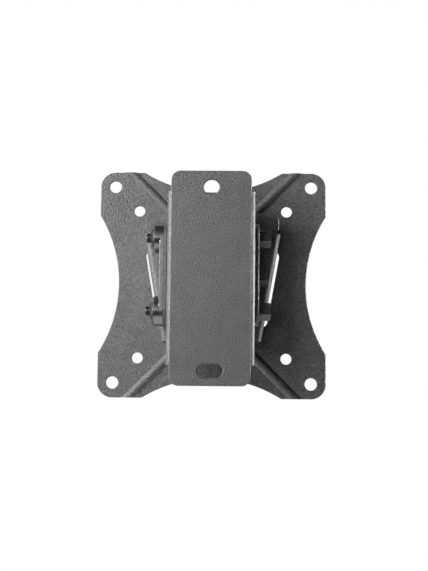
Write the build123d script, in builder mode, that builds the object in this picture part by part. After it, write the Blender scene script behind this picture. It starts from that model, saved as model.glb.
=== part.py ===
from build123d import *
import os
from math import cos, radians, sin, tan

# Tilting wall bracket for a small flat screen, in millimetres.
# The origin is the centre of the wall face. +X is right and +Z is up for someone who looks
# from the wall side, and +Y runs from the wall to the screen.

# Pressed steel sheet
sheet = 2.0
outer_bend = 3.0
sheet_edge = 0.3

# Screen plate
stand_off = 32.0
plate_side = 115.0
plate_corner_radius = 7.5
plate_edge_run = 22.4
waist_depth = 10.0
waist_blend = 6.0
large_pitch = 100.0
large_hole = 6.2
small_pitch = 75.0
small_hole = 5.5
weld_slot_length = 40.0
weld_slot_width = 7.0
weld_slot_height = -2.0
weld_slot_outside = 1.4
rib_width = 4.7
rib_rise = 1.1
rib_start = 14.0
rib_offset = 15.4

# Wall channel
channel_height = 104.0
channel_tab_width = 39.0
channel_tab_radius = 4.5
channel_width = 42.6
flange_height = 84.0
flange_foot = 11.0
flange_foot_top = 33.0
flange_foot_bottom = -27.0
flange_end_radius = 4.0
flange_blend = 4.0
pivot_lobe = 7.0
slot_wall = 2.4
wall_hole = 7.6
wall_hole_height = 44.0
wall_slot_length = 12.5
wall_slot_width = 7.0
wall_slot_height = -44.8

# Tilt axis, the clamp bolt below it and the lock screw between them
pivot_depth = 14.0
pivot_height = 20.75
bolt_spacing = 36.0
lock_drop = 19.45
tilt_limit = 10.0

# Tilt bracket
bracket_sheet = 1.5
bracket_depth = 10.5
bracket_top = 24.5
bracket_bottom = -29.3
bracket_half_width = 29.95
flange_lean = 10.0
ear_radius = 7.4
window_top = 27.6
window_radius = 2.0
tab_top = 34.8
tab_half_width = 33.4
tab_radius = 4.0
bend_relief = 1.2
ear_relief = 0.5
ear_relief_reach = 0.6
ear_bend = 1.4

# Fasteners
thread = 5.0
thread_chamfer = 0.6
across_flats = 8.0
hex_chamfer = 0.35
hex_turn = 20.0
bolt_head = 4.8
bolt_length = 56.6
screw_head = 4.0
screw_length = 12.0
nut_height = 4.2
washer_diameter = 10.0
washer_thickness = 1.0
friction_diameter = 12.0
friction_thickness = 0.5
sleeve_diameter = 8.0
strap_thickness = 2.05
boss_rise = 2.85
strap_edge = 0.5

# Clearances
bore_clearance = 0.1
running_gap = 0.05
pocket_clearance = 0.15

# How close two places count as one
match = 0.01

# Places that follow from the sizes
bore = thread + 2 * bore_clearance
lean_tangent = tan(radians(flange_lean))
lean_cosine = cos(radians(flange_lean))
across_corners = across_flats / cos(radians(30))
clamp_height = pivot_height - bolt_spacing
lock_height = pivot_height - lock_drop
ear_middle = (pivot_height + clamp_height) / 2
flange_outside = channel_width / 2
flange_inside = flange_outside - sheet
ear_inside = flange_outside + running_gap + friction_thickness
ear_outside = ear_inside + bracket_sheet
strap_face = ear_outside + strap_thickness
boss_face = strap_face + boss_rise
head_seat = ear_outside + washer_thickness
sleeve_end = flange_inside - running_gap
lock_washer_face = sleeve_end - washer_thickness
bracket_face = stand_off - bracket_depth
bolt_places = ((pivot_depth, pivot_height), (pivot_depth, clamp_height))


def wall_plane(depth):
    """Plane parallel to the wall; its sketches are in X and Z, and minus extrudes to +Y."""
    return Plane.XZ.offset(-depth)


def side_plane(across):
    """Plane across the bolts; its sketches are in Y and Z, and plus extrudes to +X."""
    return Plane.YZ.offset(across)


def flange_half_width(height):
    """Half width over the bracket's leaning flanges at a height."""
    return bracket_half_width + height * lean_tangent


# Wall channel: a U of sheet with two flat end tabs, and lobes that carry the bolts
slot_end_depth = pivot_depth + bolt_spacing * sin(radians(tilt_limit))
slot_end_height = pivot_height - bolt_spacing * cos(radians(tilt_limit))
slot_lobe = bore / 2 + slot_wall
straight_down = 270
slot_start = straight_down - tilt_limit


def is_foot_corner(corner):
    """True at the inner corners of a flange, where its deep middle meets its shallow ends."""
    near_foot = min(abs(corner.Y - flange_foot_top), abs(corner.Y - flange_foot_bottom)) < match
    return near_foot and corner.X > 0


with BuildPart() as wall_channel:
    with BuildSketch(Plane.XY.offset(-flange_height / 2)) as channel_section:
        with Locations((0, stand_off / 2)):
            Rectangle(channel_width, stand_off)
        fillet(channel_section.vertices().group_by(Axis.Y)[0], outer_bend)
        with Locations((0, stand_off / 2 + sheet)):
            Rectangle(channel_width - 2 * sheet, stand_off, mode=Mode.SUBTRACT)
    extrude(amount=flange_height)
    fillet(
        wall_channel.edges().filter_by(Axis.Z).filter_by_position(Axis.Y, sheet - match, sheet + match),
        outer_bend - sheet,
    )
    with BuildSketch(side_plane(-flange_outside)) as flange_side:
        with Locations((pivot_depth, pivot_height)):
            Circle(pivot_lobe)
        with Locations((slot_end_depth, slot_end_height)):
            Circle(slot_lobe)
        with Locations((0, (flange_foot_top + flange_foot_bottom) / 2)):
            Rectangle(2 * flange_foot, flange_foot_top - flange_foot_bottom)
        make_hull()
        with Locations((0, 0)):
            RectangleRounded(2 * flange_foot, flange_height, flange_end_radius)
        foot_corners = flange_side.vertices().filter_by(is_foot_corner)
        fillet(foot_corners, flange_blend)
    extrude(amount=channel_width, mode=Mode.INTERSECT)
    with BuildSketch(wall_plane(sheet_edge)) as tab_outline:
        RectangleRounded(channel_tab_width, channel_height, channel_tab_radius)
    extrude(amount=sheet_edge - sheet)
    extrude(tab_outline.sketch, amount=sheet_edge, taper=45)
    with BuildSketch(wall_plane(0)):
        with Locations((0, wall_hole_height)):
            Circle(wall_hole / 2)
        with Locations((0, wall_slot_height)):
            SlotOverall(wall_slot_length, wall_slot_width)
    extrude(amount=-sheet, mode=Mode.SUBTRACT)
    chamfer(wall_channel.faces().sort_by(Axis.Y)[0].inner_wires().edges(), sheet_edge)
    with BuildSketch(side_plane(-flange_outside)) as bolt_cuts:
        with Locations((pivot_depth, pivot_height)):
            Circle(bore / 2)
        with BuildLine(mode=Mode.PRIVATE):
            clamp_path = CenterArc((pivot_depth, pivot_height), bolt_spacing, slot_start, 2 * tilt_limit)
        SlotArc(clamp_path, bore)
    extrude(amount=channel_width, mode=Mode.SUBTRACT)
    with BuildSketch(side_plane(flange_inside)) as lock_cut:
        with BuildLine(mode=Mode.PRIVATE):
            lock_path = CenterArc((pivot_depth, pivot_height), lock_drop, slot_start, 2 * tilt_limit)
        SlotArc(lock_path, bore)
    extrude(amount=sheet, mode=Mode.SUBTRACT)


# Screen plate: waisted square sheet with two hole patterns, four pressed ribs and two slots
plate_waist = plate_side - 2 * plate_edge_run
waist_radius = (plate_waist ** 2 / 4 + waist_depth ** 2) / (2 * waist_depth)
waist_centre = plate_side / 2 - waist_depth + waist_radius
rib_radius = (rib_width ** 2 / 4 + rib_rise ** 2) / (2 * rib_rise)
rib_centre = stand_off - rib_rise + rib_radius
rib_end = plate_side / 2 - rib_offset + rib_width
rib_length = (rib_end - rib_start) / cos(radians(45))
slot_outside = bracket_half_width + weld_slot_outside
slot_middle = slot_outside - weld_slot_width / 2 / lean_cosine + weld_slot_height * lean_tangent
sides = (-1, 1)


def is_waist_corner(corner):
    """True at the corners where a straight edge of the plate meets a waist arc."""
    return abs(min(abs(corner.X), abs(corner.Y)) - plate_waist / 2) < waist_blend / 2


def rib_bars(radius):
    """Four round bars at 45 degrees, from behind the channel to past the plate's edge."""
    with BuildPart() as bars:
        for right in sides:
            for up in sides:
                start = (right * rib_start, rib_centre, up * (rib_start + rib_offset))
                with BuildSketch(Plane(start, z_dir=(right, 0, up))):
                    Circle(radius)
                extrude(amount=rib_length)
                with Locations(start):
                    Sphere(radius)
    return bars.part


rib_outside = rib_bars(rib_radius)
rib_inside = rib_bars(rib_radius - sheet)

with BuildPart() as screen_plate:
    with BuildSketch(wall_plane(stand_off)) as plate_outline:
        Rectangle(plate_side, plate_side)
        with PolarLocations(waist_centre, 4):
            Circle(waist_radius, mode=Mode.SUBTRACT)
        waist_corners = plate_outline.vertices().filter_by(is_waist_corner)
        outer_corners = plate_outline.vertices() - waist_corners
        fillet(outer_corners, plate_corner_radius)
        fillet(waist_corners, waist_blend)
    extrude(amount=-sheet)
    with BuildSketch(wall_plane(stand_off)):
        with GridLocations(large_pitch, large_pitch, 2, 2):
            Circle(large_hole / 2)
        with GridLocations(small_pitch, small_pitch, 2, 2):
            Circle(small_hole / 2)
        for side in sides:
            with Locations((side * slot_middle, weld_slot_height)):
                SlotOverall(weld_slot_length, weld_slot_width, rotation=90 - side * flange_lean)
    extrude(amount=-sheet, mode=Mode.SUBTRACT)
    chamfer(screen_plate.faces().filter_by(Axis.Y).edges(), sheet_edge)
    add(rib_outside)
    screen_side = Location((0, sheet, 0))
    extrude(plate_outline.sketch.moved(screen_side), amount=sheet + rib_rise, mode=Mode.INTERSECT)
    add(rib_inside, mode=Mode.SUBTRACT)


# Tilt bracket: one pressed piece, with a web that faces the wall, two leaning flanges that stand
# on the screen plate, and two ears that are cut from the web's window and folded to the wall
top_half_width = flange_half_width(bracket_top)
bottom_half_width = flange_half_width(bracket_bottom)
window_height = window_top - bracket_bottom
ear_relief_width = 2 * (bracket_sheet + ear_relief_reach)
ear_relief_middle = ear_inside


def is_flange_bend(edge):
    """True at the two leaning edges of the web."""
    return abs(edge.tangent_at(0).Z) > abs(edge.tangent_at(0).X)


def is_ear_root(edge):
    """True at the straight edges along an ear's fold, on the screen side of the web."""
    length_fits = abs(edge.length - bolt_spacing) < match
    return length_fits and abs(edge.center().Y - bracket_face - bracket_sheet) < match


with BuildPart() as tilt_bracket:
    with BuildSketch(wall_plane(bracket_face)):
        with BuildLine():
            Polyline(
                (-top_half_width, bracket_top),
                (top_half_width, bracket_top),
                (bottom_half_width, bracket_bottom),
                (-bottom_half_width, bracket_bottom),
                close=True,
            )
        make_face()
    extrude(amount=-bracket_depth)
    web_face = tilt_bracket.faces().sort_by(Axis.Y)[0]
    bend_edges = web_face.edges().filter_by(is_flange_bend)
    fillet(bend_edges, outer_bend)
    open_faces = [
        tilt_bracket.faces().sort_by(Axis.Y)[-1],
        tilt_bracket.faces().sort_by(Axis.Z)[-1],
        tilt_bracket.faces().sort_by(Axis.Z)[0],
    ]
    offset(amount=-bracket_sheet, openings=open_faces)
    with BuildSketch(wall_plane(bracket_face)) as tab:
        with Locations((0, (bracket_top + tab_top) / 2)):
            Rectangle(2 * tab_half_width, tab_top - bracket_top)
        fillet(tab.vertices().group_by(Axis.Y)[-1], tab_radius)
    extrude(amount=-bracket_sheet)
    with BuildSketch(wall_plane(bracket_face)) as web_cuts:
        with Locations((0, window_top)):
            Rectangle(2 * ear_inside, window_height, align=(Align.CENTER, Align.MAX))
        fillet(web_cuts.vertices().group_by(Axis.Y)[-1], window_radius)
        for side in sides:
            with Locations((side * tab_half_width, bracket_top + bend_relief)):
                Circle(bend_relief)
            with Locations(
                (side * ear_relief_middle, pivot_height + ear_relief),
                (side * ear_relief_middle, clamp_height - ear_relief),
            ):
                Rectangle(ear_relief_width, 2 * ear_relief)
    extrude(amount=-bracket_sheet, mode=Mode.SUBTRACT)
    web_edges = tilt_bracket.edges().group_by(Axis.Y)[0]
    chamfer(web_edges.filter_by_position(Axis.Z, window_top + match, tab_top + match), sheet_edge)
    for ear_face in (-ear_outside, ear_inside):
        with BuildSketch(side_plane(ear_face)):
            with Locations((pivot_depth, ear_middle)):
                SlotCenterToCenter(bolt_spacing, 2 * ear_radius, rotation=90)
                Rectangle(
                    bracket_face + bracket_sheet - pivot_depth,
                    bolt_spacing,
                    align=(Align.MIN, Align.CENTER),
                )
        extrude(amount=bracket_sheet)
    ear_roots = tilt_bracket.edges().filter_by(is_ear_root)
    fillet(ear_roots.filter_by_position(Axis.X, -ear_inside, ear_inside), ear_bend)
    ear_rims = tilt_bracket.edges().filter_by_position(Axis.Y, 0, pivot_depth + match).group_by(Axis.X)
    chamfer(ear_rims[0] + ear_rims[-1], sheet_edge)
    with BuildSketch(side_plane(-ear_outside)):
        with Locations(*bolt_places):
            Circle(bore / 2)
    extrude(amount=2 * ear_outside, mode=Mode.SUBTRACT)
    with BuildSketch(side_plane(ear_inside)):
        with Locations((pivot_depth, lock_height)):
            Circle(bore / 2)
    extrude(amount=bracket_sheet, mode=Mode.SUBTRACT)


# Nut strap: lies on the left ear and keeps both nuts from turning
with BuildPart() as nut_strap:
    with BuildSketch(side_plane(-ear_outside)):
        with Locations((pivot_depth, ear_middle)):
            SlotCenterToCenter(bolt_spacing, 2 * ear_radius, rotation=90)
    extrude(amount=-strap_thickness)
    chamfer(nut_strap.faces().sort_by(Axis.X)[0].edges(), strap_edge)
    with BuildSketch(side_plane(-ear_outside)):
        with Locations(*bolt_places):
            Circle(ear_radius)
    extrude(amount=ear_outside - boss_face)
    chamfer(nut_strap.faces().group_by(Axis.X)[0].edges(), strap_edge)
    with BuildSketch(side_plane(-boss_face)):
        with Locations(*bolt_places):
            RegularPolygon(
                across_flats / 2 + pocket_clearance,
                side_count=6,
                major_radius=False,
                rotation=hex_turn,
            )
    extrude(amount=boss_rise, mode=Mode.SUBTRACT)
    with BuildSketch(side_plane(-strap_face)):
        with Locations(*bolt_places):
            Circle(bore / 2)
    extrude(amount=strap_thickness, mode=Mode.SUBTRACT)


def hex_blank(height, seat, length, both_ends=False):
    """Hexagon across the tilt axis, from its seat outwards, with turned corners."""
    corner = across_corners / 2 - hex_chamfer
    with BuildPart() as blank:
        with BuildSketch(side_plane(seat)):
            with Locations((pivot_depth, height)):
                RegularPolygon(across_flats / 2, 6, major_radius=False, rotation=hex_turn)
        extrude(amount=length)
        with BuildSketch(Plane.XY.offset(height)) as turned:
            with Locations((seat + length / 2, pivot_depth)):
                Rectangle(abs(length), across_corners / 2, align=(Align.CENTER, Align.MIN))
            rim = turned.vertices().group_by(Axis.Y)[-1].sort_by(Axis.X)
            if not both_ends:
                rim = rim[-1:] if length > 0 else rim[:1]
            chamfer(rim, hex_chamfer)
        revolve(axis=Axis((0, pivot_depth, height), (1, 0, 0)), mode=Mode.INTERSECT)
    return blank.part


def make_bolt(height, seat, head, length):
    """Hex bolt with its head at the right of its seat."""
    blank = hex_blank(height, seat, head)
    with BuildPart() as bolt:
        add(blank)
        with BuildSketch(side_plane(seat)):
            with Locations((pivot_depth, height)):
                Circle(thread / 2)
        extrude(amount=-length)
        chamfer(bolt.faces().sort_by(Axis.X)[0].edges(), thread_chamfer)
    return bolt


def make_nut(height, seat):
    """Hex nut that runs to the left of its seat."""
    blank = hex_blank(height, seat, -nut_height, both_ends=True)
    with BuildPart() as nut:
        add(blank)
        with BuildSketch(side_plane(seat)):
            with Locations((pivot_depth, height)):
                Circle(thread / 2 + running_gap)
        extrude(amount=-nut_height, mode=Mode.SUBTRACT)
    return nut


def make_ring(height, start, length, diameter):
    """Washer or sleeve on a bolt, from its left face to the right."""
    with BuildPart() as ring:
        with BuildSketch(side_plane(start)):
            with Locations((pivot_depth, height)):
                Circle(diameter / 2)
                Circle(bore / 2, mode=Mode.SUBTRACT)
        extrude(amount=length)
    return ring


pieces = {
    "wall_channel": wall_channel,
    "screen_plate": screen_plate,
    "tilt_bracket": tilt_bracket,
    "nut_strap": nut_strap,
    "lock_screw": make_bolt(lock_height, ear_outside, screw_head, screw_length),
    "lock_nut": make_nut(lock_height, lock_washer_face),
    "lock_washer": make_ring(lock_height, lock_washer_face, washer_thickness, washer_diameter),
    "lock_friction_washer": make_ring(
        lock_height, flange_outside + running_gap, friction_thickness, friction_diameter
    ),
    "pivot_sleeve": make_ring(pivot_height, -flange_inside, 2 * flange_inside, sleeve_diameter),
    "clamp_sleeve": make_ring(clamp_height, -sleeve_end, 2 * sleeve_end, sleeve_diameter),
}
for name, height in (("pivot", pivot_height), ("clamp", clamp_height)):
    pieces[f"{name}_bolt"] = make_bolt(height, head_seat, bolt_head, bolt_length)
    pieces[f"{name}_nut"] = make_nut(height, -strap_face)
    pieces[f"{name}_washer"] = make_ring(height, ear_outside, washer_thickness, washer_diameter)
    pieces[f"{name}_friction_washer_right"] = make_ring(
        height, flange_outside + running_gap, friction_thickness, friction_diameter
    )
    pieces[f"{name}_friction_washer_left"] = make_ring(
        height, -ear_inside, friction_thickness, friction_diameter
    )

os.makedirs("parts", exist_ok=True)
for label, piece in pieces.items():
    piece.part.label = label
    export_step(piece.part, f"parts/{label}.step")
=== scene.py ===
"""Finishes, threaded fasteners and a plain studio for a tilting screen wall bracket.

Everything is in metres in the bracket's own frame: the origin is the centre of the face on the
wall, +Y runs from the wall to the screen and +Z is up. Sizes in the settings and in the tables
below are in millimetres.
"""

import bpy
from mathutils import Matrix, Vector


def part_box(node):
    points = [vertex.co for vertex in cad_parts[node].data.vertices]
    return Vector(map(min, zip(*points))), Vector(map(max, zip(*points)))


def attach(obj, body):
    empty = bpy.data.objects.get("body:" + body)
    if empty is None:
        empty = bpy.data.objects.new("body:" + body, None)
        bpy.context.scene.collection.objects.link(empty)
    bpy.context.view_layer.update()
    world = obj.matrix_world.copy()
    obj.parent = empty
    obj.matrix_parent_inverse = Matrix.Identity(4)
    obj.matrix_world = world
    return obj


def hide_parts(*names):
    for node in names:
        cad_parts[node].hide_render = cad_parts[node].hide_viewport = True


bl_info = {
    "name": "Tilting Screen Wall Bracket",
    "version": (1, 0, 0),
    "blender": (4, 5, 0),
    "location": "3D View > Sidebar > Bracket",
    "description": "Finishes, threaded fasteners and a plain studio for a tilting wall bracket",
    "category": "3D View",
}

from math import cos, pi, radians, sin

import bpy
from bpy.props import FloatProperty, FloatVectorProperty, IntProperty, PointerProperty
from bpy.types import Operator, Panel, PropertyGroup
from mathutils import Matrix, Vector

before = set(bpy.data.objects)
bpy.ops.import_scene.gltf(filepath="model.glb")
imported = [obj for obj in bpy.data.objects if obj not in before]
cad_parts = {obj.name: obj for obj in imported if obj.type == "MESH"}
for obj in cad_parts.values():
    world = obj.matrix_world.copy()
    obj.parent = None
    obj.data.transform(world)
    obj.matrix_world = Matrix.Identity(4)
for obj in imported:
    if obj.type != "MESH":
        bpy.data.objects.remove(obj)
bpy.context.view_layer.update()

MM = 0.001

# Inputs and output of a colour Mix node, which go by number because their names repeat
MIX_FIRST, MIX_SECOND, MIX_COLOUR = 6, 7, 2

PRESSED_STEEL = ("wall_channel", "screen_plate", "tilt_bracket")
FRICTION_WASHERS = tuple(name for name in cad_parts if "friction_washer" in name)
SLEEVES = ("pivot_sleeve", "clamp_sleeve")
NUTS_AND_WASHERS = (
    "pivot_nut",
    "clamp_nut",
    "lock_nut",
    "pivot_washer",
    "clamp_washer",
    "lock_washer",
)

# What each bolt is seated on: a washer and its inner (0) or outer (1) face. The lock screw has no
# washer of its own and lies on the ear, level with the pivot washer's inner face.
BOLT_SEATS = {
    "pivot_bolt": ("pivot_washer", 1),
    "clamp_bolt": ("clamp_washer", 1),
    "lock_screw": ("pivot_washer", 0),
}
SHORTEST_SHANK = 0.6  # plain shank left under a head, in mm
CHAMFER_SHARES = (0, 0.25, 0.5, 0.75, 1.0)  # places of the rows on a head's turned corner
ROWS_PER_TURN = 8  # rows of points in one pitch of thread
FLANK_SLOPE, ROOT_FLAT = 1.5, 0.2  # shape of the thread's profile
SHARP_EDGE = radians(28)

# Where each soft light stands: azimuth and elevation in degrees, then distance, width and height
# in mm
LIGHT_PLACES = {
    "key": (-40, 19, 360, 160, 160),
    "front": (-15, 6, 1100, 300, 300),
    "left": (-74, 12, 1100, 150, 200),
    "right": (102, 14, 1100, 200, 200),
    "back": (130, 0, 1100, 400, 600),
}
ROOM_RISE, ROOM_START = 1.6, 0.2  # how fast and how far behind the object the room gets pale
FLOOR_SIDES = 96
FLOOR_WHITE = 0.7  # share of plain white seen at the floor's middle


# Shader graphs


class Value:
    """A node's output. An expression on it adds the Math nodes that work it out."""

    def __init__(self, graph, socket):
        self.graph = graph
        self.socket = socket

    def maths(self, operation, *terms):
        """The result of a Math node on these terms."""
        return self.graph.add(
            "ShaderNodeMath", {"operation": operation}, dict(enumerate(terms))
        )("Value")

    def __add__(self, other):
        return self.maths("ADD", self, other)

    def __sub__(self, other):
        return self.maths("SUBTRACT", self, other)

    def __mul__(self, other):
        return self.maths("MULTIPLY", self, other)

    def __truediv__(self, other):
        return self.maths("DIVIDE", self, other)

    def __rsub__(self, other):
        return self.maths("SUBTRACT", other, self)

    def __rtruediv__(self, other):
        return self.maths("DIVIDE", other, self)

    __radd__ = __add__
    __rmul__ = __mul__

    def clamped(self):
        """The value kept within 0 and 1."""
        return self.maths("MAXIMUM", self.maths("MINIMUM", self, 1.0), 0.0)


class Graph:
    """The nodes of a material or a world."""

    def __init__(self, owner):
        owner.use_nodes = True
        self.owner = owner
        self.tree = owner.node_tree
        self.tree.nodes.clear()

    def add(self, kind, settings=None, sockets=None):
        """Adds a node and returns a function that gives its outputs by name."""
        node = self.tree.nodes.new(kind)
        for name, setting in (settings or {}).items():
            setattr(node, name, setting)
        for name, value in (sockets or {}).items():
            if isinstance(value, Value):
                self.tree.links.new(value.socket, node.inputs[name])
            else:
                node.inputs[name].default_value = value
        return lambda name: Value(self, node.outputs[name])

    def end(self, shader, output="ShaderNodeOutputMaterial"):
        """Links the shader to the output and returns the material or world."""
        self.add(output, None, {"Surface": shader})
        return self.owner

    def surface(self, sockets):
        """Ends the material with a Principled shader that has these socket values or links."""
        return self.end(self.add("ShaderNodeBsdfPrincipled", None, sockets)("BSDF"))

    def vector_maths(self, operation, sockets, output="Vector"):
        """The result of a Vector Math node with these socket values or links."""
        return self.add("ShaderNodeVectorMath", {"operation": operation}, sockets)(output)

    def place(self):
        """Position on the object, in millimetres."""
        spot = self.add("ShaderNodeTexCoord")("Object")
        return self.vector_maths("SCALE", {0: spot, "Scale": 1 / MM})

    def noise(self, size, detail=2.0, roughness=0.5, vector=None):
        """Noise from 0 to 1 whose lumps are about the given size in millimetres."""
        sockets = {
            "Vector": vector or self.place(),
            "Scale": 1 / size,
            "Detail": detail,
            "Roughness": roughness,
        }
        return self.add("ShaderNodeTexNoise", None, sockets)("Fac")

    def blend(self, amount, first, second):
        """Colour from first to second by an amount."""
        sockets = {"Factor": amount, MIX_FIRST: first, MIX_SECOND: second}
        return self.add("ShaderNodeMix", {"data_type": "RGBA"}, sockets)(MIX_COLOUR)

    def bump(self, height, depth):
        """Normal of a surface with a relief of the given depth in millimetres."""
        sockets = {"Height": height, "Distance": depth * MM, "Strength": 1.0}
        return self.add("ShaderNodeBump", None, sockets)("Normal")


def colour(setting, share=1.0):
    """A setting's colour times a share, as a shader colour."""
    return tuple(channel * share for channel in setting) + (1.0,)


def settings(name):
    """One of the scene's groups of settings."""
    return getattr(bpy.context.scene, name)


def new_material(name):
    """The empty graph of a new material."""
    return Graph(bpy.data.materials.new(name))


def new_object(name, data):
    """A new object in the scene."""
    made = bpy.data.objects.new(name, data)
    bpy.context.scene.collection.objects.link(made)
    return made


def dress(nodes, material):
    """Gives CAD nodes a material."""
    for name in nodes:
        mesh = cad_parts[name].data
        mesh.materials.clear()
        mesh.materials.append(material)


# Settings that a user would change


class BracketCoat(PropertyGroup):
    """Finish of the pressed steel pieces"""

    colour: FloatVectorProperty(
        name="Coat colour",
        description="Colour of the powder coat",
        subtype="COLOR",
        size=3,
        default=(0.105, 0.105, 0.106),
        min=0,
        max=1,
    )
    grain: FloatProperty(
        name="Grain", description="Width of the coat's grains in mm", default=0.7, min=0.1
    )
    relief: FloatProperty(
        name="Relief", description="Height of the coat's grains in mm", default=0.35, min=0
    )
    # Strength of the painted highlight and shade on the grains, and of the random patches, in the
    # coat's colour
    grain_shade_and_mottle: FloatProperty(
        name="Mottle",
        description="Share by which the coat's colour changes from grain to grain",
        subtype="FACTOR",
        default=0.7,
        min=0,
        max=1,
    )
    roughness: FloatProperty(
        name="Roughness",
        description="Mean roughness of the coat",
        subtype="FACTOR",
        default=0.34,
        min=0,
        max=1,
    )


class BracketFasteners(PropertyGroup):
    """Colours of the small parts and sizes of the threaded bolts"""

    colour: FloatVectorProperty(
        name="Steel colour",
        description="Colour of the blackened steel",
        subtype="COLOR",
        size=3,
        default=(0.1, 0.1, 0.102),
        min=0,
        max=1,
    )
    strap: FloatVectorProperty(
        name="Strap colour",
        description="Colour of the nut strap's bare steel",
        subtype="COLOR",
        size=3,
        default=(0.23, 0.23, 0.235),
        min=0,
        max=1,
    )
    zinc: FloatVectorProperty(
        name="Zinc colour",
        description="Colour of the plated sleeves",
        subtype="COLOR",
        size=3,
        default=(0.52, 0.52, 0.51),
        min=0,
        max=1,
    )
    nylon: FloatVectorProperty(
        name="Nylon colour",
        description="Colour of the friction washers",
        subtype="COLOR",
        size=3,
        default=(0.03, 0.03, 0.031),
        min=0,
        max=1,
    )
    across_flats: FloatProperty(
        name="Across flats", description="Width of a bolt's head in mm", default=8.0, min=1
    )
    hex_turn: FloatProperty(
        name="Hex turn",
        description="Turn of the heads about their bolts",
        subtype="ANGLE",
        default=radians(20),
    )
    hex_chamfer: FloatProperty(
        name="Head chamfer", description="Turned corner of a head in mm", default=0.5, min=0
    )
    thread: FloatProperty(
        name="Thread", description="Outer diameter of the thread in mm", default=5.0, min=1
    )
    pitch: FloatProperty(
        name="Pitch", description="Distance between thread crests in mm", default=0.8, min=0.2
    )
    thread_depth: FloatProperty(
        name="Thread depth", description="Depth of the thread in mm", default=0.45, min=0
    )
    thread_length: FloatProperty(
        name="Thread length", description="Longest thread on a bolt in mm", default=12.0, min=1
    )
    end_chamfer: FloatProperty(
        name="End chamfer", description="Chamfer on a bolt's end in mm", default=0.6, min=0
    )
    steps: IntProperty(
        name="Steps", description="Steps round a bolt", default=72, min=12, max=360
    )


class BracketStudio(PropertyGroup):
    """Camera, floor, lights and room"""

    aim: FloatVectorProperty(
        name="Aim",
        description="Point in mm that the camera looks at",
        size=3,
        default=(1.647, 0.470, -3.934),
    )
    distance: FloatProperty(
        name="Distance", description="Camera distance in mm", default=541.9, min=1
    )
    azimuth: FloatProperty(
        name="Azimuth",
        description="Camera angle round the object",
        subtype="ANGLE",
        default=radians(1.348),
    )
    elevation: FloatProperty(
        name="Elevation",
        description="Camera angle above the object",
        subtype="ANGLE",
        default=radians(-6.258),
    )
    roll: FloatProperty(
        name="Roll", description="Camera's roll", subtype="ANGLE", default=radians(-0.607)
    )
    lens: FloatProperty(
        name="Lens",
        description="Camera's focal length for a 36 mm sensor",
        subtype="DISTANCE_CAMERA",
        unit="CAMERA",
        default=71.28,
        min=1,
    )
    floor_drop: FloatProperty(
        name="Floor drop", description="Floor below the origin in mm", default=300.0, min=0
    )
    floor_radius: FloatProperty(
        name="Floor radius", description="Radius of the floor in mm", default=300.0, min=1
    )
    key_power: FloatProperty(
        name="Key power",
        description="Power of the near soft light at the front left",
        unit="POWER",
        default=1.16,
    )
    front_power: FloatProperty(
        name="Front power",
        description="Power of the small soft light left of the camera",
        unit="POWER",
        default=0.85,
    )
    left_power: FloatProperty(
        name="Left power",
        description="Power of the soft light at the left",
        unit="POWER",
        default=14.0,
    )
    right_power: FloatProperty(
        name="Right power",
        description="Power of the soft light at the right",
        unit="POWER",
        default=13.0,
    )
    back_power: FloatProperty(
        name="Back power",
        description="Power of the soft light behind the plate at the right",
        unit="POWER",
        default=8.5,
    )
    front_level: FloatProperty(
        name="Front level", description="Brightness of the room before the object", default=0.01
    )
    back_level: FloatProperty(
        name="Back level", description="Brightness of the room behind the object", default=0.5
    )


# Finishes


class BRACKET_OT_coat(Operator):
    """Gives the pressed steel pieces their satin, finely grained powder coat, with each grain's
    highlight and shade painted into its colour
    """

    bl_idname = "bracket.coat"
    bl_label = "Powder coat"

    fine_ratio = 2.4  # how much finer the small grains are
    patch_width = 9.0  # of the coat's faint patches, in mm
    # How strongly the grains' relief is painted into the colour as highlight and shade
    grain_shade_contrast = 2.6
    patch_contrast = 0.35

    def execute(self, context):
        coat = settings("bracket_coat")
        graph = new_material("powder_coat")
        place = graph.place()
        grain = graph.noise(coat.grain, 1.5, 0.6, place)
        fine = graph.noise(coat.grain / self.fine_ratio, 1.0, 0.5, place)
        patches = graph.noise(self.patch_width, 2.0, 0.5, place)
        relief = grain * 0.7 + fine * 0.3
        # Colour follows the relief: grain crests are painted lighter and hollows darker, a painted
        # highlight and shade of each grain, and the patches add faint random tone
        tone = 0.5 + (relief - 0.5) * self.grain_shade_contrast + (patches - 0.5) * self.patch_contrast
        darkest = colour(coat.colour, 1 - coat.grain_shade_and_mottle)
        lightest = colour(coat.colour, 1 + coat.grain_shade_and_mottle)
        sockets = {
            "Base Color": graph.blend(tone.clamped(), darkest, lightest),
            "Roughness": coat.roughness + (fine - 0.5) * 0.22 + (patches - 0.5) * 0.08,
            "Normal": graph.bump(relief, coat.relief),
        }
        dress(PRESSED_STEEL, graph.surface(sockets))
        return {"FINISHED"}


def black_steel():
    """Blackened steel with fine marks and faint darker and lighter patches, made once."""
    made = bpy.data.materials.get("black_steel")
    if made:
        return made
    fasteners = settings("bracket_fasteners")
    graph = new_material("black_steel")
    place = graph.place()
    marks = graph.noise(0.25, 2.0, 0.6, place)
    patches = graph.noise(2.5, 3.0, 0.55, place)
    tone = (marks * 0.5 + patches * 0.6 - 0.05).clamped()
    base = graph.blend(tone, colour(fasteners.colour, 0.7), colour(fasteners.colour, 1.3))
    sockets = {
        "Base Color": base,
        "Metallic": 0.95,
        "Roughness": 0.24 + (patches - 0.5) * 0.16 + (marks - 0.5) * 0.08,
        "Normal": graph.bump(marks, 0.01),
    }
    return graph.surface(sockets)


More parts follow.
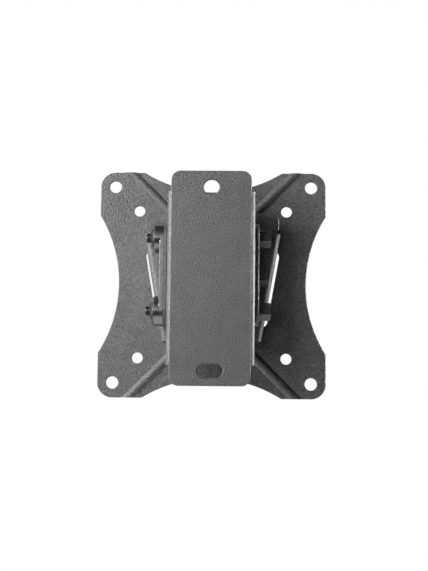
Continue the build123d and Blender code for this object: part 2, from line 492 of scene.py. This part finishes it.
class BRACKET_OT_small_parts(Operator):
    """Gives the nuts, washers, nut strap, sleeves and friction washers their finishes"""

    bl_idname = "bracket.small_parts"
    bl_label = "Small parts"

    def execute(self, context):
        fasteners = settings("bracket_fasteners")
        dress(NUTS_AND_WASHERS, black_steel())
        dress(["nut_strap"], self.strap(fasteners))
        dress(SLEEVES, self.zinc(fasteners))
        dress(FRICTION_WASHERS, self.nylon(fasteners))
        return {"FINISHED"}

    def strap(self, fasteners):
        """Smooth dark steel with faint cloudy marks from handling."""
        graph = new_material("dark_steel")
        place = graph.place()
        marks = graph.noise(0.5, 2.0, 0.6, place)
        cloud = graph.noise(4.0, 3.0, 0.55, place)
        tone = (marks * 0.35 + cloud * 0.65).clamped()
        base = graph.blend(tone, colour(fasteners.strap, 0.75), colour(fasteners.strap, 1.25))
        sockets = {
            "Base Color": base,
            "Metallic": 0.95,
            "Roughness": 0.27 + (cloud - 0.5) * 0.1,
            "Normal": graph.bump(marks, 0.02),
        }
        return graph.surface(sockets)

    def zinc(self, fasteners):
        """Dull plating with faint turning lines along the sleeve."""
        graph = new_material("zinc_plating")
        place = graph.place()
        along = graph.add("ShaderNodeSeparateXYZ", None, {"Vector": place})("X")
        turning = {"W": along, "Scale": 6.0, "Detail": 3.0}
        lines = graph.add("ShaderNodeTexNoise", {"noise_dimensions": "1D"}, turning)("Fac")
        cloud = graph.noise(3.0, 3.0, 0.5, place)
        tone = (lines * 0.4 + cloud * 0.6).clamped()
        base = graph.blend(tone, colour(fasteners.zinc, 0.8), colour(fasteners.zinc, 1.15))
        sockets = {
            "Base Color": base,
            "Metallic": 1.0,
            "Roughness": 0.34 + (cloud - 0.5) * 0.2,
            "Normal": graph.bump(lines, 0.02),
        }
        return graph.surface(sockets)

    def nylon(self, fasteners):
        """Black moulded washer with a faint mould texture."""
        graph = new_material("nylon_washer")
        mould = graph.noise(0.4, 2.0, 0.5)
        base = graph.blend(mould, colour(fasteners.nylon, 0.8), colour(fasteners.nylon, 1.3))
        sockets = {
            "Base Color": base,
            "Roughness": 0.5 + (mould - 0.5) * 0.2,
            "Normal": graph.bump(mould, 0.02),
        }
        return graph.surface(sockets)


# Threaded fasteners


def hex_radius(angle, half_flats, turn):
    """Distance from the middle of a hexagon to its side at an angle."""
    step = pi / 3
    from_corner = (angle - turn) % step
    return half_flats / cos(from_corner - step / 2)


def thread_height(along, angle, pitch):
    """Height of a thread's profile from 0 to 1, for a right-hand thread."""
    phase = (along / pitch + angle / (2 * pi)) % 1.0
    wave = 1 - abs(2 * phase - 1)
    return min(max(wave * FLANK_SLOPE - ROOT_FLAT, 0.0), 1.0)


def bolt_rows(sizes, head, length):
    """Rows of (place along the bolt, radius by angle) from the head's top to the bolt's end.

    The place is 0 at the head's seat, positive into the head and negative along the shank.
    """
    half_flats = sizes.across_flats / 2
    corner = half_flats / cos(pi / 6) - sizes.hex_chamfer
    shank = sizes.thread / 2
    root = shank - sizes.thread_depth
    thread_start = -max(length - sizes.thread_length, SHORTEST_SHANK)
    rows = []
    for share in CHAMFER_SHARES:
        down = share * sizes.hex_chamfer
        limit = corner + down
        rows.append(
            (head - down, lambda a, r=limit: min(r, hex_radius(a, half_flats, sizes.hex_turn)))
        )
    rows.append((0, lambda a: hex_radius(a, half_flats, sizes.hex_turn)))
    rows.append((0, lambda a: shank))
    rows.append((thread_start, lambda a: shank))
    along = thread_start
    stride = sizes.pitch / ROWS_PER_TURN
    while along - stride > -length:
        along -= stride
        limit = shank - max(sizes.end_chamfer - (length + along), 0)
        fade = min((thread_start - along) / sizes.pitch, 1.0)

        def radius(a, x=along, top=limit, rise=fade):
            turn = root + (shank - root) * thread_height(x, a, sizes.pitch)
            return min(shank + (turn - shank) * rise, top)

        rows.append((along, radius))
    rows.append((-length, lambda a: shank - sizes.end_chamfer))
    return rows


def bolt_mesh(name, sizes, centre, seat, head, length):
    """Mesh of a hex bolt along X, with its head to the right of its seat."""
    rows = bolt_rows(sizes, head, length)
    angles = [2 * pi * step / sizes.steps for step in range(sizes.steps)]
    points = []
    for along, radius in rows:
        for angle in angles:
            reach = radius(angle) * MM
            y, z = centre.y + reach * cos(angle), centre.z + reach * sin(angle)
            points.append((seat + along * MM, y, z))
    faces = [tuple(range(sizes.steps))]
    for row in range(len(rows) - 1):
        first = row * sizes.steps
        second = first + sizes.steps
        for step in range(sizes.steps):
            after = (step + 1) % sizes.steps
            faces.append((first + step, second + step, second + after, first + after))
    last = (len(rows) - 1) * sizes.steps
    faces.append(tuple(last + step for step in reversed(range(sizes.steps))))
    mesh = bpy.data.meshes.new(name)
    mesh.from_pydata(points, [], faces)
    mesh.shade_smooth()
    mesh.set_sharp_from_angle(angle=SHARP_EDGE)
    return mesh


class BRACKET_OT_bolts(Operator):
    """Builds the pivot bolt, the clamp bolt and the lock screw with their threads"""

    bl_idname = "bracket.bolts"
    bl_label = "Threaded bolts"

    def execute(self, context):
        for node, (washer, face) in BOLT_SEATS.items():
            self.make(node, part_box(washer)[face].x)
        return {"FINISHED"}

    def make(self, node, seat):
        """A threaded bolt in place of a plain CAD one. The seat is where its head bears, in X."""
        sizes = settings("bracket_fasteners")
        low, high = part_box(node)
        centre = (low + high) / 2
        head = (high.x - seat) / MM
        length = (seat - low.x) / MM
        name = node + "_threaded"
        piece = new_object(name, bolt_mesh(name, sizes, centre, seat, head, length))
        piece.data.materials.append(black_steel())
        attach(piece, "screen")
        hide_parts(node)


# Studio


def outward(azimuth, elevation):
    """Direction from the object; azimuth 0 is the wall side and negative azimuths are left."""
    flat = cos(elevation)
    return Vector((sin(azimuth) * flat, -cos(azimuth) * flat, sin(elevation)))


class BRACKET_OT_studio(Operator):
    """Sets up the camera, the soft lights, the pale room and the floor"""

    bl_idname = "bracket.studio"
    bl_label = "Studio"

    def execute(self, context):
        studio = settings("bracket_studio")
        self.camera(studio)
        self.room(studio)
        self.floor(studio)
        for name, place in LIGHT_PLACES.items():
            self.soft_light(name + "_light", *place, getattr(studio, name + "_power"))
        context.scene.view_settings.view_transform = "Standard"
        return {"FINISHED"}

    def camera(self, studio):
        """A camera that looks at the aim from the photograph's side."""
        back = outward(studio.azimuth, studio.elevation)
        level = Vector((0, 0, 1)).cross(back).normalized()
        rise = back.cross(level)
        right = level * cos(studio.roll) - rise * sin(studio.roll)
        up = back.cross(right)
        turn = Matrix((right, up, back)).transposed().to_4x4()
        data = bpy.data.cameras.new("camera")
        data.lens = studio.lens
        data.sensor_width = 36.0
        data.clip_start = 0.01
        data.clip_end = 50.0
        camera = new_object("camera", data)
        spot = Vector(studio.aim) * MM + back * studio.distance * MM
        camera.matrix_world = Matrix.Translation(spot) @ turn
        bpy.context.scene.camera = camera

    def room(self, studio):
        """A white room to the eye. As light it is pale behind the object and dim before it."""
        world = bpy.data.worlds.new("room")
        bpy.context.scene.world = world
        graph = Graph(world)
        direction = graph.add("ShaderNodeTexCoord")("Generated")
        ahead = graph.add("ShaderNodeSeparateXYZ", None, {"Vector": direction})("Y")
        behind = (ahead * ROOM_RISE - ROOM_START).clamped()
        level = studio.front_level + behind * (studio.back_level - studio.front_level)
        ray = graph.add("ShaderNodeLightPath")
        mirrored = (ray("Is Glossy Ray") + ray("Is Transmission Ray")).clamped() * behind
        white = (ray("Is Camera Ray") + mirrored).clamped()
        strength = white + (1 - white) * level
        sockets = {"Color": (1.0, 1.0, 1.0, 1.0), "Strength": strength}
        shader = graph.add("ShaderNodeBackground", None, sockets)("Background")
        graph.end(shader, "ShaderNodeOutputWorld")

    def floor(self, studio):
        """A pale round floor that keeps the shadow and fades into the white room at its rim."""
        radius, depth = studio.floor_radius * MM, -studio.floor_drop * MM
        rim = [2 * pi * side / FLOOR_SIDES for side in range(FLOOR_SIDES)]
        points = [(radius * cos(angle), radius * sin(angle), depth) for angle in rim]
        mesh = bpy.data.meshes.new("floor")
        mesh.from_pydata(points, [], [tuple(range(FLOOR_SIDES))])
        floor = new_object("floor", mesh)
        graph = new_material("pale_floor")
        place = graph.place()
        specks = graph.noise(12.0, 3.0, 0.5, place)
        dark, light = (0.78, 0.78, 0.78), (0.84, 0.84, 0.84)
        base = graph.blend(specks, colour(dark), colour(light))
        plain = graph.add("ShaderNodeBsdfDiffuse", None, {"Color": base})("BSDF")
        white = graph.add("ShaderNodeEmission", None, {"Strength": 1.0})("Emission")
        flat = graph.vector_maths("MULTIPLY", {0: place, 1: (1.0, 1.0, 0.0)})
        from_middle = graph.vector_maths("LENGTH", {0: flat}, "Value")
        fade = (from_middle / studio.floor_radius * 2 - 1).clamped()
        ray = graph.add("ShaderNodeLightPath")
        seen = (ray("Is Camera Ray") + ray("Is Glossy Ray") + ray("Is Transmission Ray")).clamped()
        sockets = {"Fac": seen * (FLOOR_WHITE + fade * (1 - FLOOR_WHITE)), 1: plain, 2: white}
        mesh.materials.append(graph.end(graph.add("ShaderNodeMixShader", None, sockets)("Shader")))

    def soft_light(self, name, azimuth, elevation, distance, width, height, power):
        """A rectangular light that faces the object, placed in degrees and millimetres."""
        data = bpy.data.lights.new(name, "AREA")
        data.shape = "RECTANGLE"
        data.size, data.size_y = width * MM, height * MM
        data.energy = power
        light = new_object(name, data)
        away = outward(radians(azimuth), radians(elevation))
        light.location = away * distance * MM
        light.rotation_euler = away.to_track_quat("Z", "Y").to_euler()


class BRACKET_PT_panel(Panel):
    """Lists the bracket's makers and their settings"""

    bl_idname = "BRACKET_PT_panel"
    bl_label = "Tilting wall bracket"
    bl_space_type = "VIEW_3D"
    bl_region_type = "UI"
    bl_category = "Bracket"

    def draw(self, context):
        for operator in OPERATORS:
            self.layout.operator(operator.bl_idname)
        for name in GROUPS:
            box = self.layout.box()
            for prop in getattr(context.scene, name).bl_rna.properties:
                if prop.identifier not in ("rna_type", "name"):
                    box.prop(getattr(context.scene, name), prop.identifier)


OPERATORS = (BRACKET_OT_coat, BRACKET_OT_small_parts, BRACKET_OT_bolts, BRACKET_OT_studio)
GROUPS = {
    "bracket_coat": BracketCoat,
    "bracket_fasteners": BracketFasteners,
    "bracket_studio": BracketStudio,
}
CLASSES = (*GROUPS.values(), *OPERATORS, BRACKET_PT_panel)


def register():
    """Adds the classes and gives every scene the bracket's settings."""
    for entry in CLASSES:
        bpy.utils.register_class(entry)
    for name, group in GROUPS.items():
        setattr(bpy.types.Scene, name, PointerProperty(type=group))


def unregister():
    """Takes away what register added."""
    for name in GROUPS:
        delattr(bpy.types.Scene, name)
    for entry in reversed(CLASSES):
        bpy.utils.unregister_class(entry)


def main():
    """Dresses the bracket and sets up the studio."""
    register()
    bpy.ops.bracket.coat()
    bpy.ops.bracket.small_parts()
    bpy.ops.bracket.bolts()
    bpy.ops.bracket.studio()


if __name__ == "__main__":
    main()
